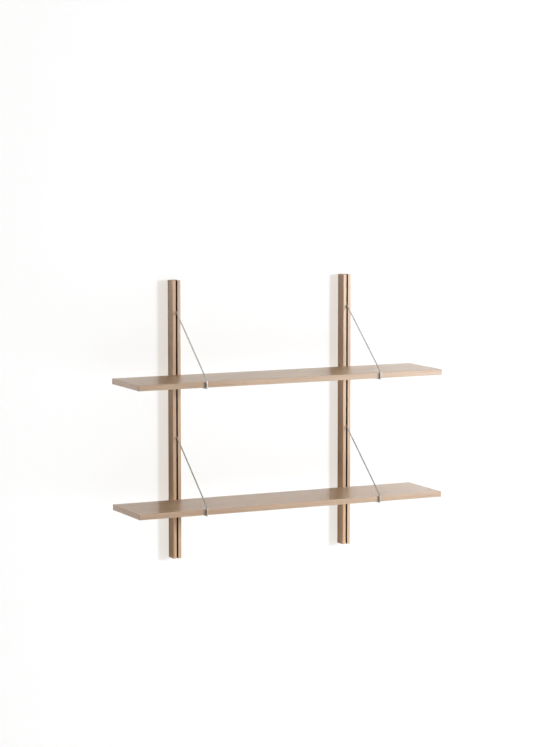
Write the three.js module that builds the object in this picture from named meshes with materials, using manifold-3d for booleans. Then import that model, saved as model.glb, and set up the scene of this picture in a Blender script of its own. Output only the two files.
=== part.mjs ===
// Wall shelf: two grooved rails, two lipped boards and four bent wire brackets.
// Units are millimetres. X runs along the boards, +Y points into the wall, +Z is up.
// The origin lies on the wall plane, midway between the rails, level with their lower ends.
import * as THREE from "three";
import { mergeVertices } from "three/addons/utils/BufferGeometryUtils.js";
import Module from "manifold-3d";

const wasm = await Module();
wasm.setup();

// Flat sides on each small round part
const ROUND_SIDES = 14;

// Rails
const RAIL_SPACING = 573;
const RAIL_WIDTH = 26;
const RAIL_DEPTH = 36;
const RAIL_HEIGHT = 840;
const RAIL_EASE = 0.8;
const GROOVE_WIDTH = 5.2;
const GROOVE_DEPTH = 24;
const GROOVE_EASE = 0.4;

// Cross pins, driven in from each rail's right side and blind in its left strip
const PIN_RADIUS = 2;
const PIN_Y = -19;
const PIN_LEFT = -8.5;
const PIN_RIGHT = 12.5;
const PIN_PITCH = 94;
const PIN_COUNT = 8;
const PIN_TOP_Z = 753;
const PIN_FIT = 0.03;

// Keyhole hangers, let into the rails' backs
const HANGER_WIDTH = 16;
const HANGER_LENGTH = 46;
const HANGER_THICKNESS = 1.8;
const HANGER_RECESS = 2;
const HANGER_FIT = 0.2;
const HANGER_Z = { top: 800, bottom: 46 };
const KEY_RADIUS = 4.75;
const KEY_SLOT_RADIUS = 2.3;
const KEY_LOW_Z = -5;
const KEY_HIGH_Z = 6;
const POCKET_RADIUS = 5.5;
const POCKET_DEPTH = 8.2;
const SCREW_OFFSET_Z = 17.5;
const SCREW_RADIUS = 1.4;
const SCREW_HEAD_RADIUS = 2.8;
const SCREW_LENGTH = 8.5;
const SCREW_FIT = 0.05;

// Boards: a veneered core with a lip along each long edge and a band on each end
const BOARD_LENGTH = 1000;
const BOARD_DEPTH = 205;
const BOARD_THICKNESS = 17;
const BOARD_GAP = 12;
const LIP_DEPTH = 8;
const BAND_THICKNESS = 3;
const BOARD_EASE = 1;

// Wire brackets
const WIRE_RADIUS = 2;
const WIRE_SIDES = 14;
const WIRE_CLEARANCE = 0.3;
const WIRE_CORNER_RISE = 2.8;
const HOOK_RADIUS = 4.3;
const HOOK_DROP = 7;
const HOOK_ABOVE_BOARD = 195;
const FRONT_BEND = 6;
const UNDER_BEND = 3.5;
const ARM_END_Y = -12.6;
const BEND_STEP = THREE.MathUtils.degToRad(11);

const RAIL_X = { left: -RAIL_SPACING / 2, right: RAIL_SPACING / 2 };
const BOARD_BACK_Y = -(RAIL_DEPTH + BOARD_GAP);
const BOARD_FRONT_Y = BOARD_BACK_Y - BOARD_DEPTH;
const BOARD_TOP_Z = {
  upper: PIN_TOP_Z - HOOK_ABOVE_BOARD,
  lower: PIN_TOP_Z - 4 * PIN_PITCH - HOOK_ABOVE_BOARD,
};

const root = new THREE.Group();
root.name = "wall_shelf";

function material(color, roughness, metalness) {
  return new THREE.MeshStandardMaterial({ color, roughness, metalness });
}

const railWood = () => material(0xa8835f, 0.5, 0);
const boardWood = () => material(0xb89878, 0.42, 0);
const lipWood = () => material(0xb8926e, 0.45, 0);
const wireSteel = () => material(0xb4b6b8, 0.32, 1);
const pinSteel = () => material(0x8e9093, 0.4, 1);
const hangerZinc = () => material(0x9c9ea0, 0.45, 1);

function addMesh(name, geometry, surface) {
  const mesh = new THREE.Mesh(geometry, surface);
  mesh.name = name;
  root.add(mesh);
}

// A three.js geometry as a manifold solid, and back again.
function toSolid(geometry) {
  const bare = geometry.clone();
  bare.deleteAttribute("normal");
  bare.deleteAttribute("uv");
  const merged = mergeVertices(bare, 1e-4);
  const mesh = new wasm.Mesh({
    numProp: 3,
    vertProperties: merged.attributes.position.array,
    triVerts: new Uint32Array(merged.index.array),
  });
  return new wasm.Manifold(mesh);
}

function toGeometry(solid) {
  const mesh = solid.getMesh();
  const geometry = new THREE.BufferGeometry();
  geometry.setAttribute("position", new THREE.BufferAttribute(mesh.vertProperties, 3));
  geometry.setIndex(new THREE.BufferAttribute(mesh.triVerts, 1));
  geometry.computeVertexNormals();
  return geometry;
}

// A closed outline of [a, b] points with the listed corners rounded off.
function easedShape(points, ease, segments) {
  const outline = [];
  points.forEach(([a, b, round], i) => {
    if (!round) {
      outline.push(new THREE.Vector2(a, b));
      return;
    }
    const here = new THREE.Vector2(a, b);
    const before = new THREE.Vector2(...points.at(i - 1).slice(0, 2)).sub(here).setLength(ease);
    const after = new THREE.Vector2(...points[(i + 1) % points.length].slice(0, 2));
    after.sub(here).setLength(ease);
    const centre = here.clone().add(before).add(after);
    for (let k = 0; k <= segments; k += 1) {
      const angle = (k / segments) * (Math.PI / 2);
      const point = centre.clone();
      point.addScaledVector(after, -Math.cos(angle));
      point.addScaledVector(before, -Math.sin(angle));
      outline.push(point);
    }
  });
  return new THREE.Shape(outline);
}

function prism(shape, length) {
  return new THREE.ExtrudeGeometry(shape, { depth: length, bevelEnabled: false, steps: 1 });
}

// A cylinder along X between two x positions.
function rodAlongX(radius, x0, x1, y, z) {
  const geometry = new THREE.CylinderGeometry(radius, radius, x1 - x0, ROUND_SIDES);
  geometry.rotateZ(Math.PI / 2);
  geometry.translate((x0 + x1) / 2, y, z);
  return geometry;
}

// A stadium outline in X and Z, from zLow to zHigh between its end centres, running from yFar to yNear.
function stadiumAlongY(radius, x, zLow, zHigh, yFar, yNear) {
  const shape = new THREE.Shape();
  shape.absarc(0, zHigh, radius, 0, Math.PI, false);
  shape.absarc(0, zLow, radius, Math.PI, 2 * Math.PI, false);
  const geometry = new THREE.ExtrudeGeometry(shape, {
    depth: yNear - yFar,
    bevelEnabled: false,
    curveSegments: ROUND_SIDES / 2,
  });
  geometry.rotateX(Math.PI / 2);
  geometry.translate(x, yNear, 0);
  return geometry;
}

// A solid of revolution about an axis along Y. Its profile is a list of [radius, y].
function turnedAlongY(profile, x, z) {
  const points = profile.map(([radius, y]) => new THREE.Vector2(radius, y));
  const geometry = new THREE.LatheGeometry(points, ROUND_SIDES);
  geometry.translate(x, 0, z);
  return geometry;
}

function railProfile() {
  const side = RAIL_WIDTH / 2;
  const groove = GROOVE_WIDTH / 2;
  const floorY = GROOVE_DEPTH - RAIL_DEPTH;
  const shape = easedShape(
    [
      [side, 0],
      [-side, 0],
      [-side, -RAIL_DEPTH, true],
      [-groove - GROOVE_EASE, -RAIL_DEPTH],
      [-groove, -RAIL_DEPTH + GROOVE_EASE],
      [-groove, floorY],
      [groove, floorY],
      [groove, -RAIL_DEPTH + GROOVE_EASE],
      [groove + GROOVE_EASE, -RAIL_DEPTH],
      [side, -RAIL_DEPTH, true],
    ],
    RAIL_EASE,
    3,
  );
  return prism(shape, RAIL_HEIGHT);
}

function pinHeights() {
  return Array.from({ length: PIN_COUNT }, (_, i) => PIN_TOP_Z - i * PIN_PITCH);
}

function screwHeights(hangerZ) {
  return { high: hangerZ + SCREW_OFFSET_Z, low: hangerZ - SCREW_OFFSET_Z };
}

// The space that one hanger takes out of a rail: its recess, the head's pocket and two pilot holes.
function hangerCut(x, z) {
  const reach = HANGER_LENGTH / 2 - HANGER_WIDTH / 2;
  const recessRadius = HANGER_WIDTH / 2 + HANGER_FIT;
  let cut = toSolid(stadiumAlongY(recessRadius, x, z - reach, z + reach, -HANGER_RECESS, 1));
  const pocket = stadiumAlongY(POCKET_RADIUS, x, z + KEY_LOW_Z, z + KEY_HIGH_Z, -POCKET_DEPTH, 1);
  cut = cut.add(toSolid(pocket));
  for (const screwZ of Object.values(screwHeights(z))) {
    cut = cut.add(toSolid(turnedAlongY(screwProfile(SCREW_FIT, SCREW_FIT), x, screwZ)));
  }
  return cut;
}

// A countersunk screw's half outline, from its point to its head. Grown, it is the hole it sits in.
function screwProfile(grow, lengthen) {
  const headY = HANGER_THICKNESS - HANGER_RECESS - 0.1;
  const shank = SCREW_RADIUS + grow;
  const head = SCREW_HEAD_RADIUS + grow;
  const neckY = headY - (SCREW_HEAD_RADIUS - SCREW_RADIUS);
  return [
    [0, headY - SCREW_LENGTH - lengthen],
    [shank, headY - SCREW_LENGTH + 2],
    [shank, neckY],
    [head, headY],
    [head, headY + grow],
    [0, headY + grow],
  ];
}

function addRail(side) {
  const x = RAIL_X[side];
  const profile = railProfile();
  profile.translate(x, 0, 0);
  let solid = toSolid(profile);
  for (const z of pinHeights()) {
    const hole = rodAlongX(PIN_RADIUS + PIN_FIT, x + PIN_LEFT - 0.1, x + RAIL_WIDTH, PIN_Y, z);
    solid = solid.subtract(toSolid(hole));
  }
  for (const z of Object.values(HANGER_Z)) {
    solid = solid.subtract(hangerCut(x, z));
  }
  addMesh(`rail_${side}`, toGeometry(solid), railWood());
}

function addPins(side) {
  const x = RAIL_X[side];
  pinHeights().forEach((z, i) => {
    const pin = rodAlongX(PIN_RADIUS, x + PIN_LEFT, x + PIN_RIGHT, PIN_Y, z);
    addMesh(`pin_${side}_${i + 1}`, pin, pinSteel());
  });
}

function addHanger(side, end) {
  const x = RAIL_X[side];
  const z = HANGER_Z[end];
  const reach = HANGER_LENGTH / 2 - HANGER_WIDTH / 2;
  const backY = HANGER_THICKNESS - HANGER_RECESS;
  const through = [-HANGER_RECESS - 1, 1];
  const blank = stadiumAlongY(HANGER_WIDTH / 2, x, z - reach, z + reach, -HANGER_RECESS, backY);
  const entry = new THREE.CylinderGeometry(KEY_RADIUS, KEY_RADIUS, 8, 2 * ROUND_SIDES);
  entry.translate(x, 0, z + KEY_LOW_Z);
  const slot = stadiumAlongY(KEY_SLOT_RADIUS, x, z + KEY_LOW_Z, z + KEY_HIGH_Z, ...through);
  let plate = toSolid(blank).subtract(toSolid(entry)).subtract(toSolid(slot));
  for (const [level, screwZ] of Object.entries(screwHeights(z))) {
    const seat = turnedAlongY(screwProfile(SCREW_FIT, 1), x, screwZ);
    plate = plate.subtract(toSolid(seat));
    const screw = turnedAlongY(screwProfile(0, 0), x, screwZ);
    addMesh(`hanger_screw_${side}_${end}_${level}`, screw, pinSteel());
  }
  addMesh(`hanger_${side}_${end}`, toGeometry(plate), hangerZinc());
}

// A strip's outline: it reaches `depth` outwards from a board's core, with its outer edges eased.
function edgeProfile(depth, ease) {
  return easedShape(
    [
      [0, 0],
      [0, -BOARD_THICKNESS],
      [-depth, -BOARD_THICKNESS, true],
      [-depth, 0, true],
    ],
    ease,
    3,
  );
}

// A lip along a board's front (facing -1) or back (facing +1).
function lip(facing, outerY, topZ) {
  const geometry = prism(edgeProfile(LIP_DEPTH, BOARD_EASE), BOARD_LENGTH);
  geometry.rotateX(Math.PI / 2);
  geometry.rotateZ(Math.PI / 2);
  if (facing > 0) {
    geometry.rotateZ(Math.PI);
  }
  geometry.translate(facing * (BOARD_LENGTH / 2), outerY - facing * LIP_DEPTH, topZ);
  return geometry;
}

// A band on a board's left (facing -1) or right (facing +1) end, between the two lips.
function endBand(facing, topZ) {
  const length = BOARD_DEPTH - 2 * LIP_DEPTH;
  const geometry = prism(edgeProfile(BAND_THICKNESS, BOARD_EASE / 2), length);
  geometry.rotateX(Math.PI / 2);
  if (facing > 0) {
    geometry.rotateZ(Math.PI);
  }
  const startY = facing > 0 ? BOARD_FRONT_Y + LIP_DEPTH : BOARD_BACK_Y - LIP_DEPTH;
  geometry.translate(facing * (BOARD_LENGTH / 2 - BAND_THICKNESS), startY, topZ);
  return geometry;
}

function addBoard(level) {
  const topZ = BOARD_TOP_Z[level];
  const coreLength = BOARD_LENGTH - 2 * BAND_THICKNESS;
  const coreDepth = BOARD_DEPTH - 2 * LIP_DEPTH;
  const core = new THREE.BoxGeometry(coreLength, coreDepth, BOARD_THICKNESS);
  core.translate(0, (BOARD_FRONT_Y + BOARD_BACK_Y) / 2, topZ - BOARD_THICKNESS / 2);
  addMesh(`${level}_board_core`, core, boardWood());
  addMesh(`${level}_front_lip`, lip(-1, BOARD_FRONT_Y, topZ), lipWood());
  addMesh(`${level}_back_lip`, lip(1, BOARD_BACK_Y, topZ), lipWood());
  addMesh(`${level}_end_band_left`, endBand(-1, topZ), lipWood());
  addMesh(`${level}_end_band_right`, endBand(1, topZ), lipWood());
}

// Points on an arc in the Y-Z plane, both ends included.
function arcPoints(centre, radius, fromAngle, toAngle) {
  const steps = Math.max(2, Math.ceil(Math.abs(toAngle - fromAngle) / BEND_STEP));
  return Array.from({ length: steps + 1 }, (_, i) => {
    const angle = fromAngle + ((toAngle - fromAngle) * i) / steps;
    return new THREE.Vector2(
      centre.x + radius * Math.cos(angle),
      centre.y + radius * Math.sin(angle),
    );
  });
}

// The arc that rounds the corner at `corner` between the ways in from `before` and out to `after`.
function bendPoints(before, corner, after, radius) {
  const inward = before.clone().sub(corner).normalize();
  const outward = after.clone().sub(corner).normalize();
  const half = Math.acos(inward.dot(outward)) / 2;
  const middle = inward.clone().add(outward).normalize();
  const centre = corner.clone().addScaledVector(middle, radius / Math.sin(half));
  const start = corner.clone().addScaledVector(inward, radius / Math.tan(half)).sub(centre);
  const end = corner.clone().addScaledVector(outward, radius / Math.tan(half)).sub(centre);
  const from = start.angle();
  let turn = end.angle() - from;
  if (turn > Math.PI) {
    turn -= 2 * Math.PI;
  }
  if (turn < -Math.PI) {
    turn += 2 * Math.PI;
  }
  return arcPoints(centre, radius, from, from + turn);
}

// A bracket's centre line in (y, z): hook behind the pin, tie, front leg, arm under the board.
function bracketPath(topZ) {
  const pin = new THREE.Vector2(PIN_Y, topZ + HOOK_ABOVE_BOARD);
  const legY = BOARD_FRONT_Y - WIRE_CLEARANCE - WIRE_RADIUS;
  const armZ = topZ - BOARD_THICKNESS - WIRE_CLEARANCE - WIRE_RADIUS;
  const knee = new THREE.Vector2(legY, topZ + WIRE_CORNER_RISE);
  const toe = new THREE.Vector2(legY, armZ);
  const armEnd = new THREE.Vector2(ARM_END_Y, armZ);
  const tip = new THREE.Vector2(PIN_Y + HOOK_RADIUS, pin.y - HOOK_DROP);
  const toPin = pin.clone().sub(knee);
  const tieAngle = toPin.angle() + Math.asin(HOOK_RADIUS / toPin.length());
  const hook = arcPoints(pin, HOOK_RADIUS, 0, Math.PI / 2 + tieAngle);
  return [
    tip,
    ...hook,
    ...bendPoints(hook.at(-1), knee, toe, FRONT_BEND),
    ...bendPoints(knee, toe, armEnd, UNDER_BEND),
    armEnd,
  ];
}

// A round wire swept along a path in the plane x, with mitred rings and flat ends.
function wireGeometry(path, x) {
  const positions = [];
  const indices = [];
  path.forEach((point, i) => {
    const before = path[Math.max(i - 1, 0)];
    const after = path[Math.min(i + 1, path.length - 1)];
    const inDirection = point.clone().sub(before).normalize();
    const outDirection = after.clone().sub(point).normalize();
    const tangent = inDirection.clone().add(outDirection).normalize();
    const stretch = 1 / Math.max(tangent.dot(i === 0 ? outDirection : inDirection), 0.5);
    for (let k = 0; k < WIRE_SIDES; k += 1) {
      const angle = (k / WIRE_SIDES) * 2 * Math.PI;
      const across = WIRE_RADIUS * Math.cos(angle) * stretch;
      positions.push(
        x + WIRE_RADIUS * Math.sin(angle),
        point.x - tangent.y * across,
        point.y + tangent.x * across,
      );
    }
  });
  for (let i = 0; i < path.length - 1; i += 1) {
    for (let k = 0; k < WIRE_SIDES; k += 1) {
      const a = i * WIRE_SIDES + k;
      const b = i * WIRE_SIDES + ((k + 1) % WIRE_SIDES);
      indices.push(a, b, b + WIRE_SIDES, a, b + WIRE_SIDES, a + WIRE_SIDES);
    }
  }
  const last = (path.length - 1) * WIRE_SIDES;
  for (let k = 1; k < WIRE_SIDES - 1; k += 1) {
    indices.push(0, k + 1, k, last, last + k, last + k + 1);
  }
  const geometry = new THREE.BufferGeometry();
  geometry.setAttribute("position", new THREE.Float32BufferAttribute(positions, 3));
  geometry.setIndex(indices);
  geometry.computeVertexNormals();
  return geometry;
}

for (const side of ["left", "right"]) {
  addRail(side);
  addPins(side);
  addHanger(side, "top");
  addHanger(side, "bottom");
}
for (const level of ["upper", "lower"]) {
  addBoard(level);
  for (const side of ["left", "right"]) {
    const wire = wireGeometry(bracketPath(BOARD_TOP_Z[level]), RAIL_X[side]);
    addMesh(`wire_${level}_${side}`, wire, wireSteel());
  }
}

export default root;
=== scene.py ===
import math
from collections import namedtuple

import bmesh
import bpy
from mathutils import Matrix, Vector
from mathutils.geometry import tessellate_polygon


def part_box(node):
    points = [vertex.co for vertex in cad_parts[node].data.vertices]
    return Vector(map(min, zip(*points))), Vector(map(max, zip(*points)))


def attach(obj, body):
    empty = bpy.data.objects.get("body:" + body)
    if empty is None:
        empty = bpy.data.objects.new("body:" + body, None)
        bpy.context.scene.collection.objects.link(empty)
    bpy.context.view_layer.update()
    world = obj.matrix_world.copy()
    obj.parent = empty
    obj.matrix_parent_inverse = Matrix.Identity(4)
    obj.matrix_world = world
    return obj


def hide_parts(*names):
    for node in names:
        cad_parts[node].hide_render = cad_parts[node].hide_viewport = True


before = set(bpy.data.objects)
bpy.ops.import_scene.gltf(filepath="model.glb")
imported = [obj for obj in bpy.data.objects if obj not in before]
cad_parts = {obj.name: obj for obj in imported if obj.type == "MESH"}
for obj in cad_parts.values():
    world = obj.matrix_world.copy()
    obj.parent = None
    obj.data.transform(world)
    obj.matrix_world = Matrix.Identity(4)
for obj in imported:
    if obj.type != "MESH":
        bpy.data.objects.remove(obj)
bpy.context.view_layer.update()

SIDES = ("left", "right")
LEVELS = ("upper", "lower")
ENDS = ("top", "bottom")
PINS_PER_RAIL = 8

# Wire brackets
WIRE_RADIUS = 0.002
WIRE_SIDES = 32
WIRE_TIP_CHAMFER = 0.0004
HOOK_RADIUS = 0.0043
HOOK_DROP = 0.007
WIRE_CORNER_RISE = 0.0028
BOARD_TOP_ABOVE_ARM = 0.0193
FRONT_BEND = 0.006
UNDER_BEND = 0.0035
BEND_STEP = math.radians(5)

# Cross pins
PIN_SIDES = 32
PIN_RADIUS = 0.00197
PIN_CHAMFER = 0.0003

# Keyhole hangers and their screws. The keyhole's heights are from the plate's centre.
ROUND_STEPS = 36
KEYHOLE_RADIUS = 0.00475
KEYHOLE_SLOT_RADIUS = 0.0023
KEYHOLE_ENTRY_Z = -0.005
KEYHOLE_SLOT_Z = 0.006
PLATE_CHAMFER = 0.00025
SCREW_HOLE_RADIUS = 0.00288
SCREW_HEAD_RADIUS = 0.0028
SCREW_RADIUS = 0.0014
SCREW_THREAD_PITCH = 0.0009
SCREW_THREAD_DEPTH = 0.00022
SCREW_TIP_RADIUS = 0.0003
SCREW_POINT_LENGTH = 0.002
SCREW_PLAIN_NECK = 0.0006
SCREW_RIM_CHAMFER = 0.0001
RECESS_ARM = 0.0017
RECESS_HALF_WIDTH = 0.00036
RECESS_DEPTH = 0.0011
RECESS_TAPER = 0.45

# Stage. The camera sees a share of its true shading and an even glow.
WALL_Y = 0.0006
FLOOR_Z = -0.9
STAGE_REACH = 9.0
WALL_PAINT = ((0.86, 0.86, 0.86, 1.0), (0.88, 0.88, 0.88, 1.0))
WALL_SHARE = (0.224, 0.267, 0.311, 1.0)
WALL_GLOW = (0.704, 0.655, 0.605, 1.0)
STIPPLE_SCALE = 260.0
FLOOR_PAINT = ((0.78, 0.78, 0.775, 1.0), (0.82, 0.82, 0.815, 1.0))
FLOOR_SHARE = (0.2, 0.2, 0.2, 1.0)
FLOOR_GLOW = (0.72, 0.72, 0.715, 1.0)
CLOUDING_SCALE = 3.0

# Room light. Its level along a direction is WORLD_AXES by the squared direction, plus WORLD_TILT by
# the direction. The ranges are of y, where the light fades at the wall, and of x, where it warms.
WORLD_AXES = (0.49, 0.14, 0.55)
WORLD_TILT = (0.14, -0.04, 0.12)
WORLD_FADE = (0.03, -0.03)
WORLD_WARMING = (0.1, -0.5)
WORLD_PLAIN = (1.0, 0.99, 0.975, 1.0)
WORLD_WARM = (1.0, 0.77, 0.44, 1.0)
WORLD_SEEN = (0.92, 0.92, 0.915, 1.0)

# Lights
LIGHT_TARGET = (0.0, -0.1, 0.45)
KEY_PLACE = (5.55, -2.85, 0.95)
KEY_SIZE = 0.6
KEY_POWER = 775.0
KEY_COLOUR = (0.965, 1.0, 1.05)
WALL_KEY_PLACE = (3.9, -4.46, 1.1)
WALL_KEY_SIZE = 0.85
WALL_KEY_POWER = 420.0
SHEEN_POWER = 430.0
SIDE_LIGHT_PLACE = (-5.0, -2.4, 0.9)
SIDE_LIGHT_SIZE = 4.0
SIDE_LIGHT_POWER = 110.0
BACK_POWER = 2.4
BACK_ANGLE = math.radians(10)
FIXINGS_LIGHT_PLACE = (0.6, 2.8, 0.3)
FIXINGS_LIGHT_SIZE = 5.0
FIXINGS_LIGHT_POWER = 150.0

# Camera, with its lens and sensor in millimetres
CAMERA_PLACE = (-3.30522, -6.93987, 1.39653)
CAMERA_YAW = 0.44779
CAMERA_PITCH = 0.11049
LENS = 122.09157
SENSOR = 36.0
VIEW_LIMIT = 60.0


def linear(red, green, blue):
    """An sRGB colour in 0 to 255 as linear RGBA."""
    def one(value):
        v = value / 255
        return v / 12.92 if v <= 0.04045 else ((v + 0.055) / 1.055) ** 2.4
    return (one(red), one(green), one(blue), 1.0)


# ---------------------------------------------------------------- node helpers

NOISE_LOW = 0.3
NOISE_HIGH = 0.7


class Graph:
    """The node tree of a new material or of a given world, with short calls that add and link nodes."""

    def __init__(self, name, world=None):
        self.owner = world or bpy.data.materials.new(name)
        self.owner.use_nodes = True
        self.tree = self.owner.node_tree
        self.tree.nodes.clear()

    def add(self, kind, inputs=None, out=0, **settings):
        """Adds a shader node and gives back one of its outputs."""
        node = self.tree.nodes.new("ShaderNode" + kind)
        for key, value in settings.items():
            setattr(node, key, value)
        for key, value in (inputs or {}).items():
            if isinstance(value, bpy.types.NodeSocket):
                self.tree.links.new(value, node.inputs[key])
            else:
                node.inputs[key].default_value = value
        return node.outputs[out]

    def split(self, vector):
        """The x, y and z of a vector."""
        return self.add("SeparateXYZ", {0: vector}).node.outputs

    def math(self, operation, a, b=0.0, clamp=False):
        return self.add("Math", {0: a, 1: b}, operation=operation, use_clamp=clamp)

    def scaled(self, value, factor):
        return self.math("MULTIPLY", value, factor)

    def dot(self, a, b):
        return self.add("VectorMath", {0: a, 1: b}, out="Value", operation="DOT_PRODUCT")

    def spread(self, value, low, high, to_low=0.0, to_high=1.0):
        """The value carried from one range to another and held inside it."""
        inputs = {"Value": value, "From Min": low, "From Max": high}
        inputs.update({"To Min": to_low, "To Max": to_high})
        return self.add("MapRange", inputs)

    def full(self, noise):
        """Noise carried from the range that it mostly keeps to, to the whole of 0 to 1."""
        return self.spread(noise, NOISE_LOW, NOISE_HIGH)

    def mix(self, factor, a, b):
        """Mixes two colours. The colour sockets of a Mix node are 6 and 7, its result 2."""
        inputs = {0: factor, 6: a, 7: b}
        return self.add("Mix", inputs, out=2, data_type="RGBA")

    def ramp(self, factor, stops):
        """A colour ramp from pairs of place and colour."""
        stops = list(stops)
        socket = self.add("ValToRGB", {"Fac": factor})
        elements = socket.node.color_ramp.elements
        while len(elements) < len(stops):
            elements.new(1.0)
        for element, (place, colour) in zip(elements, stops):
            element.position = place
            element.color = colour
        return socket

    def noise(self, place, scale=1.0, detail=2.0, roughness=0.5):
        inputs = {"Vector": place, "Scale": scale, "Detail": detail, "Roughness": roughness}
        return self.add("TexNoise", inputs)

    def stretched(self, place, scale=(1.0, 1.0, 1.0), shift=(0.0, 0.0, 0.0)):
        return self.add("Mapping", {"Vector": place, "Location": shift, "Scale": scale})

    def bump(self, height, distance, strength):
        return self.add("Bump", {"Height": height, "Distance": distance, "Strength": strength})

    def finish(self, **inputs):
        """Ends in one Principled shader. Underscores in the names stand for spaces."""
        named = {key.replace("_", " "): value for key, value in inputs.items()}
        shader = self.add("BsdfPrincipled", named)
        self.output(shader)
        return self.owner

    def output(self, shader, kind="OutputMaterial"):
        node = self.tree.nodes.new("ShaderNode" + kind)
        self.tree.links.new(shader, node.inputs["Surface"])


# ---------------------------------------------------------------- wood

# Where the painted shade in a rail's groove starts and is full, in coordinates from the rail's centre
GROOVE_WALL = (0.00295, 0.0027)
GROOVE_FRONT = (-0.0178, -0.0168)
GROOVE_FLOOR = (0.0066, 0.0062)

# For a grain along each axis, the axes that run with it, across it and into the piece
AXES = {"X": (0, 1, 2), "Y": (1, 0, 2), "Z": (2, 0, 1)}

# Noise scales with the grain, across it and into the piece
CLOUD_SCALE = (1.1, 11.0, 11.0)
STREAK_SCALE = (3.0, 150.0, 150.0)
FIBRE_SCALE = (22.0, 1500.0, 1500.0)
PORE_SCALE = (95.0, 2300.0, 2300.0)
RING_WANDER_SCALE = (1.6, 9.0, 9.0)
RING_RIPPLE_SCALE = (7.0, 60.0, 60.0)
RING_WANDER = 0.016
RING_RIPPLE = 0.0012
LATE_WOOD_POWER = 2.2
LATE_WOOD_END = (1.0, 0.9)

# Noise values over which a pore opens
PORE_OPENING = (0.62, 0.72)

# A piece's name picks how far its figure is shifted.
SEEDS = 17
SEED_STEP = 0.61
SEED_SLANT = 1.7

# Ranges of cosines: from a face to an axis, to count as square, and from a worn edge's normal to its
# face's, to count as rubbed
SQUARE_RANGE = (0.75, 0.95)
EDGE_RANGE = (0.995, 0.86)

# What each kind of figure adds to the tone, and how far each part is drawn to its own colour
STREAK_SHARE = 0.46
CLOUD_SHARE = 0.34
FIBRE_SHARE = 0.20
RING_SHARE = 0.34
MIDDLE_TONE = 0.45
PORE_SHARE = 0.38
PORE_SHADE = 0.35
END_SHARE = 0.45
# The rails' sides are drawn towards a tone of painted shade.
FLANK_SHADE_SHARE = 0.75
# The rails' groove is drawn towards a tone of painted shade.
GROOVE_SHADE_SHARE = 0.92
WORN_SHARE = 0.28
WORN_RADIUS = 0.0011

# Roughness added by each part of the figure, and its relief
PORE_ROUGHNESS = 0.16
STREAK_ROUGHNESS = 0.04
END_ROUGHNESS = 0.25
WORN_SMOOTHNESS = 0.06
FIBRE_RELIEF = 0.35
RING_RELIEF = 0.3
GRAIN_DEPTH = 0.00006
GRAIN_STRENGTH = 0.55
COAT_ROUGHNESS = 0.3
LACQUER_IOR = 1.5

# Dark, middle and light tones of each kind of piece
RAIL_TONES = (linear(134, 102, 74), linear(163, 131, 99), linear(184, 154, 121))
BOARD_TONES = (linear(120, 93, 68), linear(149, 122, 95), linear(168, 142, 113))
LIP_TONES = (linear(126, 98, 72), linear(151, 124, 97), linear(168, 143, 114))
# Painted shade on the rails' sides
FLANK_SHADE_TONE = linear(143, 105, 63)
# Painted shade in the rails' groove
GROOVE_SHADE_TONE = linear(24, 15, 9)
WORN_TONE = linear(196, 168, 138)

# Roughness, specular level and coat weight of the lacquer on each kind of piece
RAIL_FINISH = (0.40, 0.45, 0.25)
BOARD_FINISH = (0.36, 0.45, 0.2)
LIP_FINISH = (0.38, 0.45, 0.25)

# A kind of wood. The pith is the place of the rings' centre across the grain, from the piece's own centre.
Wood = namedtuple("Wood", "label axis tones finish pith ring_pitch")
RAIL_WOOD = Wood("oak", "Z", RAIL_TONES, RAIL_FINISH, (0.09, 0.07), 0.0042)
CORE_VENEER = Wood("veneer", "X", BOARD_TONES, BOARD_FINISH, (0.16, -0.11), 0.0065)
LIP_WOOD = Wood("oak", "X", LIP_TONES, LIP_FINISH, (0.06, 0.08), 0.0038)
BAND_WOOD = Wood("oak", "Y", LIP_TONES, LIP_FINISH, (0.07, 0.05), 0.0036)
BOARD_PARTS = {
    "board_core": CORE_VENEER,
    "front_lip": LIP_WOOD,
    "back_lip": LIP_WOOD,
    "end_band_left": BAND_WOOD,
    "end_band_right": BAND_WOOD,
}


def grain_place(g, axis, origin):
    """Object coordinates from a piece's own centre, turned so that the first one runs with the grain."""
    place = g.add("TexCoord", out="Object")
    local = g.add("VectorMath", {0: place, 1: origin}, operation="SUBTRACT")
    parts = g.split(local)
    order = AXES[axis]
    return g.add("CombineXYZ", {i: parts[order[i]] for i in range(3)})


def square_to(g, axis):
    """1 on faces square to an axis, such as those that cut across the grain, 0 on the others."""
    normal = g.add("TexCoord", out="Normal")
    facing = g.math("ABSOLUTE", g.split(normal)[AXES[axis][0]])
    return g.spread(facing, *SQUARE_RANGE)


def growth_rings(g, place, pith, pitch):
    """Growth rings about a wandering pith that runs with the grain, 0 in early wood to 1 in late wood."""
    wander = g.noise(g.stretched(place, RING_WANDER_SCALE))
    ripple = g.noise(g.stretched(place, RING_RIPPLE_SCALE))
    flat = g.stretched(place, (0.0, 1.0, 1.0), shift=(0.0, -pith[0], -pith[1]))
    radius = g.add("VectorMath", {0: flat}, out="Value", operation="LENGTH")
    radius = g.math("ADD", radius, g.scaled(wander, RING_WANDER))
    radius = g.math("ADD", radius, g.scaled(ripple, RING_RIPPLE))
    phase = g.math("FRACT", g.math("DIVIDE", radius, pitch))
    late = g.math("POWER", phase, LATE_WOOD_POWER)
    return g.math("MULTIPLY", late, g.spread(phase, *LATE_WOOD_END))


def worn_edges(g, radius):
    """1 on the rounded-over edges, where the finish has been rubbed, 0 on the faces."""
    soft = g.add("Bevel", {"Radius": radius}, samples=6)
    plain = g.add("NewGeometry", out="Normal")
    agree = g.dot(soft, plain)
    return g.spread(agree, *EDGE_RANGE)


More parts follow.
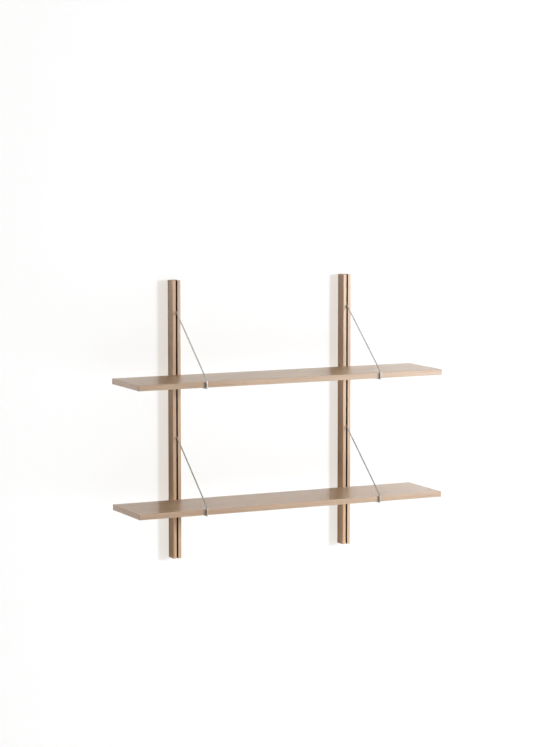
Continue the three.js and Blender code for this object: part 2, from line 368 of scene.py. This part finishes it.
def groove_shade_mask(g, place):
    """1 on the walls and floor of a rail's groove, where shade is painted, 0 elsewhere."""
    _, across, deep = g.split(place)
    sideways = g.math("ABSOLUTE", across)
    between = g.spread(sideways, *GROOVE_WALL)
    behind_front = g.spread(deep, *GROOVE_FRONT)
    before_floor = g.spread(deep, *GROOVE_FLOOR)
    return g.math("MULTIPLY", between, g.math("MULTIPLY", behind_front, before_floor))


def grain_fields(g, place, name, pith, ring_pitch):
    """The figure of one piece: rings, streaks, fibres and pores, and the tone they make, all 0 to 1."""
    seed = (sum(ord(c) for c in name) % SEEDS) * SEED_STEP
    seeded = g.stretched(place, shift=(seed, seed * SEED_SLANT, -seed))
    rings = growth_rings(g, place, pith, ring_pitch)
    clouds = g.noise(g.stretched(seeded, CLOUD_SCALE))
    streaks = g.noise(g.stretched(seeded, STREAK_SCALE), detail=4.0, roughness=0.62)
    fibres = g.noise(g.stretched(seeded, FIBRE_SCALE), detail=3.0, roughness=0.6)
    pores = g.spread(g.noise(g.stretched(seeded, PORE_SCALE), detail=1.0), *PORE_OPENING)
    tone = g.scaled(g.full(streaks), STREAK_SHARE)
    tone = g.math("ADD", tone, g.scaled(g.full(clouds), CLOUD_SHARE))
    tone = g.math("ADD", tone, g.scaled(g.full(fibres), FIBRE_SHARE))
    tone = g.math("SUBTRACT", tone, g.scaled(rings, RING_SHARE), clamp=True)
    return rings, streaks, fibres, pores, tone


def rail_painted_shade(g, place, colour):
    """The rail's sides and groove drawn to darker tones of painted shade."""
    colour = g.mix(g.scaled(square_to(g, "X"), FLANK_SHADE_SHARE), colour, FLANK_SHADE_TONE)
    return g.mix(g.scaled(groove_shade_mask(g, place), GROOVE_SHADE_SHARE), colour, GROOVE_SHADE_TONE)


def lacquered(node, kind, turn):
    """Lacquered open-pored wood for one node. A turn of -1 puts the pith on the opposite side."""
    low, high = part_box(node)
    origin = tuple((a + b) / 2 for a, b in zip(low, high))
    roughness, specular, coat = kind.finish
    dark, middle, light = kind.tones
    name = f"{node}_{kind.label}"
    g = Graph(name)
    place = grain_place(g, kind.axis, origin)
    pith = (kind.pith[0] * turn, kind.pith[1])
    rings, streaks, fibres, pores, tone = grain_fields(g, place, name, pith, kind.ring_pitch)
    cut_end = square_to(g, kind.axis)
    worn = worn_edges(g, WORN_RADIUS)

    colour = g.ramp(tone, ((0.0, dark), (MIDDLE_TONE, middle), (1.0, light)))
    pore_tone = (*(c * PORE_SHADE for c in dark[:3]), 1.0)
    colour = g.mix(g.scaled(pores, PORE_SHARE), colour, pore_tone)
    colour = g.mix(g.scaled(cut_end, END_SHARE), colour, dark)
    # Painted shade on the rail's sides and in its groove
    if kind is RAIL_WOOD:
        colour = rail_painted_shade(g, place, colour)
    colour = g.mix(g.scaled(worn, WORN_SHARE), colour, WORN_TONE)

    streaky = g.spread(streaks, NOISE_LOW, NOISE_HIGH, -STREAK_ROUGHNESS, STREAK_ROUGHNESS)
    rough = g.math("ADD", roughness, g.scaled(pores, PORE_ROUGHNESS))
    rough = g.math("ADD", rough, streaky)
    rough = g.math("ADD", rough, g.scaled(cut_end, END_ROUGHNESS))
    rough = g.math("SUBTRACT", rough, g.scaled(worn, WORN_SMOOTHNESS))
    relief = g.math("SUBTRACT", g.scaled(fibres, FIBRE_RELIEF), pores)
    relief = g.math("SUBTRACT", relief, g.scaled(rings, RING_RELIEF))
    normal = g.bump(relief, GRAIN_DEPTH, GRAIN_STRENGTH)
    return g.finish(Base_Color=colour, Roughness=rough, Normal=normal, IOR=LACQUER_IOR,
                    Specular_IOR_Level=specular, Coat_Weight=coat, Coat_Roughness=COAT_ROUGHNESS)


# ---------------------------------------------------------------- metal

# Noise scales round the wire and along it
DRAW_LINE_SCALE = (9.0, 9.0, 60.0)
PLATING_CLOUD_SCALE = (1.2, 1.2, 24.0)

WIRE_TONES = (linear(160, 160, 158), linear(184, 184, 181))
WIRE_ROUGHNESS = 0.22
LINE_ROUGHNESS = 0.16
LINE_DEPTH = 0.00001
LINE_STRENGTH = 0.35

# A mottled plating: its dark and light tones, its roughness, and its mottle's scale and depth
Plating = namedtuple("Plating", "label tones roughness scale depth")
PIN_STEEL = Plating("dowel_steel", (linear(168, 168, 170), linear(190, 190, 192)), 0.3, 260.0, 0.000008)
PLATE_ZINC = Plating("zinc_plate", (linear(158, 160, 163), linear(196, 198, 200)), 0.36, 420.0, 0.000012)
SCREW_ZINC = Plating("screw_zinc", (linear(172, 170, 160), linear(206, 204, 194)), 0.28, 520.0, 0.000008)
MOTTLE_ROUGHNESS = (-0.06, 0.08)
MOTTLE_STRENGTH = 0.4
FINE_SCALE_STEP = 9
RUBBED_TONE = linear(226, 226, 224)
RUBBED_SHARE = 0.4
RUBBED_RADIUS = 0.00035


def drawn_wire_steel():
    """Satin nickel-plated wire: faint lines along its length and a cloudy plating tone."""
    g = Graph("wire_satin_nickel")
    run = g.add("Attribute", attribute_name="wire_run", out="Vector")
    lines = g.noise(g.stretched(run, DRAW_LINE_SCALE), detail=3.0, roughness=0.6)
    cloud = g.noise(g.stretched(run, PLATING_CLOUD_SCALE))
    dark, light = WIRE_TONES
    colour = g.ramp(g.full(cloud), ((0.0, dark), (1.0, light)))
    rough = g.math("ADD", WIRE_ROUGHNESS, g.scaled(lines, LINE_ROUGHNESS))
    normal = g.bump(lines, LINE_DEPTH, LINE_STRENGTH)
    return g.finish(Base_Color=colour, Metallic=1.0, Roughness=rough, Normal=normal)


def plain_steel(kind):
    """Turned or stamped steel with a mottled plating."""
    dark, light = kind.tones
    g = Graph(kind.label)
    place = g.add("TexCoord", out="Object")
    spangle = g.noise(place, kind.scale, detail=3.0, roughness=0.55)
    fine = g.noise(place, kind.scale * FINE_SCALE_STEP)
    colour = g.ramp(g.full(spangle), ((0.0, dark), (1.0, light)))
    worn = worn_edges(g, RUBBED_RADIUS)
    colour = g.mix(g.scaled(worn, RUBBED_SHARE), colour, RUBBED_TONE)
    mottle = g.spread(spangle, NOISE_LOW, NOISE_HIGH, *MOTTLE_ROUGHNESS)
    rough = g.math("ADD", kind.roughness, mottle)
    normal = g.bump(fine, kind.depth, MOTTLE_STRENGTH)
    return g.finish(Base_Color=colour, Metallic=1.0, Roughness=rough, Normal=normal)


# ---------------------------------------------------------------- mesh helpers

SMOOTH_BELOW = math.radians(35)


def piece(name, vertices, faces, material, body, node):
    """A closed mesh piece that stands for one CAD node and rides on its body."""
    mesh = bpy.data.meshes.new(name)
    mesh.from_pydata(vertices, [], faces)
    mesh.validate()
    shape = bmesh.new()
    shape.from_mesh(mesh)
    bmesh.ops.recalc_face_normals(shape, faces=shape.faces)
    for edge in shape.edges:
        edge.smooth = len(edge.link_faces) == 2 and edge.calc_face_angle() < SMOOTH_BELOW
    for face in shape.faces:
        face.smooth = True
    shape.to_mesh(mesh)
    shape.free()
    mesh.materials.append(material)
    made = bpy.data.objects.new(name, mesh)
    bpy.context.scene.collection.objects.link(made)
    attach(made, body)
    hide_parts(node)
    return made


def swept_rings(path, profile_of, x):
    """Ring points round a path in the Y-Z plane at one x, mitred at each bend."""
    rings = []
    for i, point in enumerate(path):
        before = path[max(i - 1, 0)]
        after = path[min(i + 1, len(path) - 1)]
        into = (point - before).normalized() if i else (after - point).normalized()
        out = (after - point).normalized() if i < len(path) - 1 else into
        tangent = (into + out).normalized()
        stretch = 1 / max(tangent.dot(into), 0.5)
        radius = profile_of(i)
        ring = []
        for k in range(WIRE_SIDES):
            angle = 2 * math.pi * k / WIRE_SIDES
            across = radius * math.cos(angle) * stretch
            y = point.x - tangent.y * across
            z = point.y + tangent.x * across
            ring.append((x + radius * math.sin(angle), y, z))
        rings.append(ring)
    return rings


def ring_faces(rings, sides):
    """Faces that join one ring to the next and close both ends."""
    faces = []
    for i in range(rings - 1):
        for k in range(sides):
            a = i * sides + k
            b = i * sides + (k + 1) % sides
            faces.append((a, b, b + sides, a + sides))
    faces.append(tuple(range(sides - 1, -1, -1)))
    faces.append(tuple((rings - 1) * sides + k for k in range(sides)))
    return faces


# ---------------------------------------------------------------- wires

def arc(centre, radius, start, end):
    """Points round an arc, both ends included."""
    steps = max(2, math.ceil(abs(end - start) / BEND_STEP))
    angles = [start + (end - start) * i / steps for i in range(steps + 1)]
    return [centre + radius * Vector((math.cos(a), math.sin(a))) for a in angles]


def bend(before, corner, after, radius):
    """The arc that rounds one corner of the wire."""
    inward = (before - corner).normalized()
    outward = (after - corner).normalized()
    half = math.acos(inward.dot(outward)) / 2
    centre = corner + (inward + outward).normalized() * (radius / math.sin(half))
    start = corner + inward * (radius / math.tan(half)) - centre
    end = corner + outward * (radius / math.tan(half)) - centre
    begin = math.atan2(start.y, start.x)
    turn = math.atan2(end.y, end.x) - begin
    turn = (turn + math.pi) % (2 * math.pi) - math.pi
    return arc(centre, radius, begin, begin + turn)


def pin_axis(side, number):
    """The y and z of a pin's axis."""
    low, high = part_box(f"pin_{side}_{number}")
    return (low[1] + high[1]) / 2, (low[2] + high[2]) / 2


def wire_path(low, high):
    """A bracket's centre line in (y, z) from its own box: hook, tie, leg, arm under the board."""
    leg_y = low[1] + WIRE_RADIUS
    arm_z = low[2] + WIRE_RADIUS
    pin_y, _ = pin_axis(SIDES[0], 1)
    pin = Vector((pin_y, high[2] - WIRE_RADIUS - HOOK_RADIUS))
    knee = Vector((leg_y, arm_z + BOARD_TOP_ABOVE_ARM + WIRE_CORNER_RISE))
    toe = Vector((leg_y, arm_z))
    arm_end = Vector((high[1], arm_z))
    tip = Vector((pin.x + HOOK_RADIUS, pin.y - HOOK_DROP))
    to_pin = pin - knee
    tie = math.atan2(to_pin.y, to_pin.x) + math.asin(HOOK_RADIUS / to_pin.length)
    hook = arc(pin, HOOK_RADIUS, 0.0, math.pi / 2 + tie)
    front = bend(hook[-1], knee, toe, FRONT_BEND)
    under = bend(knee, toe, arm_end, UNDER_BEND)
    return [tip, *hook, *front, *under, arm_end]


def with_tips(path):
    """The path with one more point just inside each end, where the cut tip starts to taper."""
    first = path[0] + (path[1] - path[0]).normalized() * WIRE_TIP_CHAMFER
    last = path[-1] + (path[-2] - path[-1]).normalized() * WIRE_TIP_CHAMFER
    return [path[0], first, *path[1:-1], last, path[-1]]


def add_wire(level, side, material):
    """One bracket. Its wire_run attribute holds the place round the wire and the length run so far."""
    node = f"wire_{level}_{side}"
    low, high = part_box(node)
    path = with_tips(wire_path(low, high))
    last = len(path) - 1

    def radius(i):
        return WIRE_RADIUS - (WIRE_TIP_CHAMFER if i in (0, last) else 0.0)

    rings = swept_rings(path, radius, (low[0] + high[0]) / 2)
    vertices = [point for ring in rings for point in ring]
    faces = ring_faces(len(rings), WIRE_SIDES)
    made = piece(f"bracket_{level}_{side}", vertices, faces, material,
                 f"{level}_brackets", node)
    run = made.data.attributes.new("wire_run", "FLOAT_VECTOR", "POINT")
    travelled = 0.0
    for i in range(len(path)):
        travelled += (path[i] - path[max(i - 1, 0)]).length
        for k in range(WIRE_SIDES):
            angle = 2 * math.pi * k / WIRE_SIDES
            place = (math.cos(angle), math.sin(angle), travelled)
            run.data[i * WIRE_SIDES + k].vector = place
    return made


# ---------------------------------------------------------------- pins

def add_pin(side, number, material):
    """A dowel pin along X with chamfered ends."""
    node = f"pin_{side}_{number}"
    low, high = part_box(node)
    y, z = pin_axis(side, number)
    inner = PIN_RADIUS - PIN_CHAMFER
    stations = (
        (low[0], inner),
        (low[0] + PIN_CHAMFER, PIN_RADIUS),
        (high[0] - PIN_CHAMFER, PIN_RADIUS),
        (high[0], inner),
    )
    vertices = []
    for x, radius in stations:
        for k in range(PIN_SIDES):
            angle = 2 * math.pi * k / PIN_SIDES
            vertices.append((x, y + radius * math.cos(angle), z + radius * math.sin(angle)))
    faces = ring_faces(len(stations), PIN_SIDES)
    piece(f"dowel_{side}_{number}", vertices, faces, material, "rails", node)


# ---------------------------------------------------------------- hangers

def circle(x, z, radius):
    """Points in (x, z) round a circle, anticlockwise."""
    angles = [2 * math.pi * k / ROUND_STEPS for k in range(ROUND_STEPS)]
    return [Vector((x + radius * math.cos(a), z + radius * math.sin(a))) for a in angles]


def stadium(x, z_low, z_high, radius):
    """An upright outline with two straight sides and round ends."""
    half = ROUND_STEPS // 2
    top = [math.pi * k / half for k in range(half + 1)]
    points = [Vector((x + radius * math.cos(a), z_high + radius * math.sin(a))) for a in top]
    points += [Vector((x - radius * math.cos(a), z_low - radius * math.sin(a))) for a in top]
    return points


def keyhole(x, z):
    """The outline of a round entry with a narrower slot that runs up out of it."""
    entry_z = z + KEYHOLE_ENTRY_Z
    slot_z = z + KEYHOLE_SLOT_Z
    meet = math.acos(KEYHOLE_SLOT_RADIUS / KEYHOLE_RADIUS)
    sweep = 2 * math.pi - (math.pi - 2 * meet)
    start = math.pi - meet
    entry_angles = [start + sweep * k / ROUND_STEPS for k in range(ROUND_STEPS + 1)]
    points = [
        Vector((x + KEYHOLE_RADIUS * math.cos(a), entry_z + KEYHOLE_RADIUS * math.sin(a)))
        for a in entry_angles
    ]
    half = ROUND_STEPS // 2
    for k in range(half + 1):
        a = math.pi * k / half
        place = (x + KEYHOLE_SLOT_RADIUS * math.cos(a), slot_z + KEYHOLE_SLOT_RADIUS * math.sin(a))
        points.append(Vector(place))
    return points


def inset(loop, distance, into_material):
    """The loop moved sideways by a distance, into the plate's own material."""
    area = sum(a.x * b.y - b.x * a.y for a, b in zip(loop, loop[1:] + loop[:1]))
    turn = math.copysign(1.0, area) * (1.0 if into_material else -1.0)
    moved = []
    for i, point in enumerate(loop):
        before = loop[i - 1]
        after = loop[(i + 1) % len(loop)]
        along = (after - before).normalized()
        moved.append(point + Vector((-along.y, along.x)) * (turn * distance))
    return moved


def plate(outer, holes, y_in, y_out):
    """A flat plate with holes. The face at y_out has chamfered edges."""
    vertices = []
    faces = []
    caps = {"in": [], "out": []}
    y_step = y_out + math.copysign(PLATE_CHAMFER, y_in - y_out)
    for loop, is_outer in [(outer, True)] + [(hole, False) for hole in holes]:
        narrow = inset(loop, PLATE_CHAMFER, is_outer)
        count = len(loop)
        start = len(vertices)
        for ring, y in ((loop, y_in), (loop, y_step), (narrow, y_out)):
            vertices += [(p.x, y, p.y) for p in ring]
        for level in range(2):
            for k in range(count):
                a = start + level * count + k
                b = start + level * count + (k + 1) % count
                faces.append((a, b, b + count, a + count))
        caps["in"].append((start, loop))
        caps["out"].append((start + 2 * count, narrow))
    for loops in caps.values():
        index = [start + k for start, loop in loops for k in range(len(loop))]
        flat = [[Vector((p.x, p.y, 0.0)) for p in loop] for _, loop in loops]
        faces += [tuple(index[i] for i in triangle) for triangle in tessellate_polygon(flat)]
    return vertices, faces


def screw_places(side, end):
    """The two screws of one hanger: level, node and the corners of the node's box."""
    for level in ("high", "low"):
        node = f"hanger_screw_{side}_{end}_{level}"
        low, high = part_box(node)
        yield level, node, low, high


def add_hanger(side, end, material):
    """A keyhole plate with two countersunk screws' holes, its chamfered face outwards."""
    node = f"hanger_{side}_{end}"
    low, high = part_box(node)
    x = (low[0] + high[0]) / 2
    z = (low[2] + high[2]) / 2
    radius = (high[0] - low[0]) / 2
    outer = stadium(x, low[2] + radius, high[2] - radius, radius)
    holes = [keyhole(x, z)]
    for _, _, screw_low, screw_high in screw_places(side, end):
        holes.append(circle(x, (screw_low[2] + screw_high[2]) / 2, SCREW_HOLE_RADIUS))
    vertices, faces = plate(outer, holes, low[1], high[1])
    return piece(f"keyhole_plate_{side}_{end}", vertices, faces, material, "rails", node)


def cross_outline(x, z):
    """The outline of a cross-shaped driver recess, anticlockwise."""
    arm = RECESS_ARM
    half = RECESS_HALF_WIDTH
    quarter = [(arm, -half), (arm, half), (half, half)]
    points = []
    for turn in range(4):
        c = round(math.cos(turn * math.pi / 2))
        s = round(math.sin(turn * math.pi / 2))
        points += [Vector((x + px * c - pz * s, z + px * s + pz * c)) for px, pz in quarter]
    return points


def screw_profile(y_tip, y_head):
    """Radius and y along a countersunk screw, from just behind its point to its head's rim."""
    neck_y = y_head - (SCREW_HEAD_RADIUS - SCREW_RADIUS)
    core = SCREW_RADIUS - SCREW_THREAD_DEPTH
    y = y_tip + SCREW_POINT_LENGTH
    profile = [(SCREW_TIP_RADIUS, y_tip), (core, y)]
    while y + SCREW_THREAD_PITCH < neck_y - SCREW_PLAIN_NECK:
        profile.append((SCREW_RADIUS, y + SCREW_THREAD_PITCH / 2))
        profile.append((core, y + SCREW_THREAD_PITCH))
        y += SCREW_THREAD_PITCH
    rim_radius = SCREW_HEAD_RADIUS - SCREW_RIM_CHAMFER
    profile += [(core, neck_y), (rim_radius, y_head - SCREW_RIM_CHAMFER)]
    profile.append((rim_radius - SCREW_RIM_CHAMFER, y_head))
    return profile


def add_screw(side, end, level, node, low, high, material):
    """A countersunk wood screw with a threaded shank and a tapered cross recess."""
    x = (low[0] + high[0]) / 2
    z = (low[2] + high[2]) / 2
    y_head = high[1]
    profile = screw_profile(low[1], y_head)
    vertices = []
    for radius, y in profile:
        vertices += [(p.x, y, p.y) for p in circle(x, z, radius)]
    # The last face would close the head, which the recess opens.
    faces = ring_faces(len(profile), ROUND_STEPS)[:-1]
    rim_start = (len(profile) - 1) * ROUND_STEPS
    rim = circle(x, z, profile[-1][0])
    cross = cross_outline(x, z)
    cross_start = len(vertices)
    vertices += [(p.x, y_head, p.y) for p in cross]
    floor_start = len(vertices)
    centre = Vector((x, z))
    for p in cross:
        narrow = centre + (p - centre) * RECESS_TAPER
        vertices.append((narrow.x, y_head - RECESS_DEPTH, narrow.y))
    count = len(cross)
    for k in range(count):
        a = cross_start + k
        b = cross_start + (k + 1) % count
        faces.append((a, b, b + count, a + count))
    faces.append(tuple(floor_start + k for k in range(count)))
    index = [rim_start + k for k in range(ROUND_STEPS)] + [cross_start + k for k in range(count)]
    flat = [[Vector((p.x, p.y, 0.0)) for p in loop] for loop in (rim, cross)]
    faces += [tuple(index[i] for i in triangle) for triangle in tessellate_polygon(flat)]
    return piece(f"plate_screw_{side}_{end}_{level}", vertices, faces, material, "rails", node)


# ---------------------------------------------------------------- carried-over wood

def dress(node, material):
    """Gives a kept CAD node its finished material."""
    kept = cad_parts[node]
    for slot in kept.material_slots:
        slot.material = material
    return kept


def dress_rails():
    """Dresses the rails, as a mirrored pair."""
    for side, turn in zip(SIDES, (1, -1)):
        node = f"rail_{side}"
        dress(node, lacquered(node, RAIL_WOOD, turn))


def dress_boards():
    """Dresses the boards' parts. Gives back all of them, and those whose tops are matt to the key light."""
    boards = []
    matt = []
    for level, turn in zip(LEVELS, (1, -1)):
        for part, kind in BOARD_PARTS.items():
            node = f"{level}_{part}"
            boards.append(dress(node, lacquered(node, kind, turn)))
            if part != "front_lip":
                matt.append(boards[-1])
    return boards, matt


def add_metal():
    """Adds the wires, pins, hangers and screws.

    Gives back the wires, and the fixings in the rails' backs.
    """
    wire = drawn_wire_steel()
    pin = plain_steel(PIN_STEEL)
    zinc = plain_steel(PLATE_ZINC)
    screw = plain_steel(SCREW_ZINC)
    wires = [add_wire(level, side, wire) for level in LEVELS for side in SIDES]
    for side in SIDES:
        for number in range(1, PINS_PER_RAIL + 1):
            add_pin(side, number, pin)
    fixings = []
    for side in SIDES:
        for end in ENDS:
            fixings.append(add_hanger(side, end, zinc))
            for level, node, low, high in screw_places(side, end):
                fixings.append(add_screw(side, end, level, node, low, high, screw))
    return wires, fixings


# ---------------------------------------------------------------- studio

def stage_plane(name, corners, material):
    """A flat face of the studio, seen from the side from which its corners run anticlockwise."""
    mesh = bpy.data.meshes.new(name)
    mesh.from_pydata(corners, [], [(0, 1, 2, 3)])
    mesh.materials.append(material)
    made = bpy.data.objects.new(name, mesh)
    bpy.context.scene.collection.objects.link(made)
    return made


def stage_paint(g, colour, share, glow):
    """Ends a stage material in matt paint, which is clear from behind so that it never hides the shelf.

    The camera sees the paint's shadows softened, while its bounce light stays true.
    """
    true = g.add("BsdfDiffuse", {"Color": colour})
    faint = g.add("BsdfDiffuse", {"Color": share})
    even = g.add("AddShader", {0: faint, 1: g.add("Emission", {"Color": glow})})
    shown = g.add("MixShader", {0: g.add("LightPath", out="Is Camera Ray"), 1: true, 2: even})
    behind = g.add("NewGeometry", out="Backfacing")
    g.output(g.add("MixShader", {0: behind, 1: shown, 2: g.add("BsdfTransparent")}))
    return g.owner


def painted_wall():
    """White paint with a fine roller texture."""
    g = Graph("stage_wall_paint")
    place = g.add("TexCoord", out="Object")
    stipple = g.noise(place, STIPPLE_SCALE, detail=3.0)
    colour = g.ramp(stipple, zip((NOISE_LOW, NOISE_HIGH), WALL_PAINT))
    return stage_paint(g, colour, WALL_SHARE, WALL_GLOW)


def pale_floor():
    """Smooth pale floor paint, a little cloudy."""
    g = Graph("stage_floor")
    place = g.add("TexCoord", out="Object")
    cloud = g.noise(place, CLOUDING_SCALE, detail=4.0)
    colour = g.ramp(cloud, zip((NOISE_LOW, NOISE_HIGH), FLOOR_PAINT))
    return stage_paint(g, colour, FLOOR_SHARE, FLOOR_GLOW)


def add_stage():
    """A wall and a floor.

    The wall casts no shadow, so that the light from behind it reaches the rails' backs.
    """
    far = STAGE_REACH
    wall = stage_plane("stage_wall", [
        (-far, WALL_Y, FLOOR_Z), (far, WALL_Y, FLOOR_Z),
        (far, WALL_Y, far), (-far, WALL_Y, far)], painted_wall())
    wall.visible_shadow = False
    floor = stage_plane("stage_floor", [
        (-2 * far, -2 * far, FLOOR_Z), (2 * far, -2 * far, FLOOR_Z),
        (2 * far, 2 * far, FLOOR_Z), (-2 * far, 2 * far, FLOOR_Z)], pale_floor())
    return wall, floor


def linked(name, things, state):
    """A light-linking collection of some objects, all in one state."""
    group = bpy.data.collections.new(name)
    for thing in things:
        group.objects.link(thing)
    for entry in group.collection_objects:
        entry.light_linking.link_state = state
    return group


def add_softbox(name, place, size, power, lit=(), unlit=(), unshaded=()):
    """A square softbox. It lights only the objects in lit, or all but those in unlit.

    The objects in unshaded cast no shadow from it.
    """
    lamp = bpy.data.lights.new(name, "AREA")
    lamp.shape = "SQUARE"
    lamp.size = size
    lamp.energy = power
    made = bpy.data.objects.new(name, lamp)
    made.location = place
    aim = Vector(LIGHT_TARGET) - Vector(place)
    made.rotation_euler = aim.to_track_quat("-Z", "Y").to_euler()
    made.visible_camera = False
    bpy.context.scene.collection.objects.link(made)
    if lit or unlit:
        state = "INCLUDE" if lit else "EXCLUDE"
        made.light_linking.receiver_collection = linked(f"{name}_receivers", (*lit, *unlit), state)
    if unshaded:
        made.light_linking.blocker_collection = linked(f"{name}_blockers", unshaded, "EXCLUDE")
    return made


def add_world():
    """Soft room light, dim in front, none from behind the wall. The camera sees it pale and plain."""
    world = bpy.data.worlds.new("studio")
    bpy.context.scene.world = world
    g = Graph("studio", world)
    direction = g.add("TexCoord", out="Generated")
    tilt = g.dot(direction, WORLD_TILT)
    squares = g.add("VectorMath", {0: direction, 1: direction}, operation="MULTIPLY")
    level = g.math("ADD", tilt, g.dot(squares, WORLD_AXES))
    across, depth, _ = g.split(direction)
    level = g.math("MULTIPLY", level, g.spread(depth, *WORLD_FADE))
    tint = g.mix(g.spread(across, *WORLD_WARMING), WORLD_PLAIN, WORLD_WARM)
    room = g.add("Background", {"Color": tint, "Strength": level})
    seen = g.add("Background", {"Color": WORLD_SEEN})
    camera = g.add("LightPath", out="Is Camera Ray")
    g.output(g.add("MixShader", {0: camera, 1: room, 2: seen}), "OutputWorld")


def add_back_light():
    """A soft light square on to the wall from behind it, so that a view from behind shows the fixings."""
    lamp = bpy.data.lights.new("back", "SUN")
    lamp.energy = BACK_POWER
    lamp.angle = BACK_ANGLE
    made = bpy.data.objects.new("back", lamp)
    made.rotation_euler = (-math.pi / 2, 0.0, 0.0)
    bpy.context.scene.collection.objects.link(made)


def add_lights(wall, floor, boards, matt, wires, fixings):
    """A raking key from the right on the shelf, and a squarer one on the wall that also gives the sheen."""
    add_world()
    key = add_softbox("key", KEY_PLACE, KEY_SIZE, KEY_POWER, unlit=(wall, *matt, *wires))
    key.data.color = KEY_COLOUR
    matt_key = add_softbox("matt_key", KEY_PLACE, KEY_SIZE, KEY_POWER, lit=matt)
    matt_key.data.color = KEY_COLOUR
    matt_key.visible_glossy = False
    add_softbox("wall_key", WALL_KEY_PLACE, WALL_KEY_SIZE, WALL_KEY_POWER, lit=(wall,),
                unshaded=(*boards, *wires))
    sheen = add_softbox("sheen", WALL_KEY_PLACE, WALL_KEY_SIZE, SHEEN_POWER, unlit=(wall, floor, *matt))
    sheen.visible_diffuse = False
    side_sheen = add_softbox("side_sheen", SIDE_LIGHT_PLACE, SIDE_LIGHT_SIZE, SIDE_LIGHT_POWER,
                             unlit=(wall, floor))
    side_sheen.visible_diffuse = False
    add_back_light()
    add_softbox("fixings_light", FIXINGS_LIGHT_PLACE, FIXINGS_LIGHT_SIZE, FIXINGS_LIGHT_POWER,
                lit=fixings)


def add_camera():
    """A long lens from the left and slightly above, level across."""
    data = bpy.data.cameras.new("camera")
    data.lens = LENS
    data.sensor_width = SENSOR
    data.clip_end = VIEW_LIMIT
    made = bpy.data.objects.new("camera", data)
    made.location = CAMERA_PLACE
    made.rotation_euler = (math.pi / 2 - CAMERA_PITCH, 0.0, -CAMERA_YAW)
    bpy.context.scene.collection.objects.link(made)
    bpy.context.scene.camera = made


bpy.context.scene.view_settings.view_transform = "Standard"
dress_rails()
add_lights(*add_stage(), *dress_boards(), *add_metal())
add_camera()
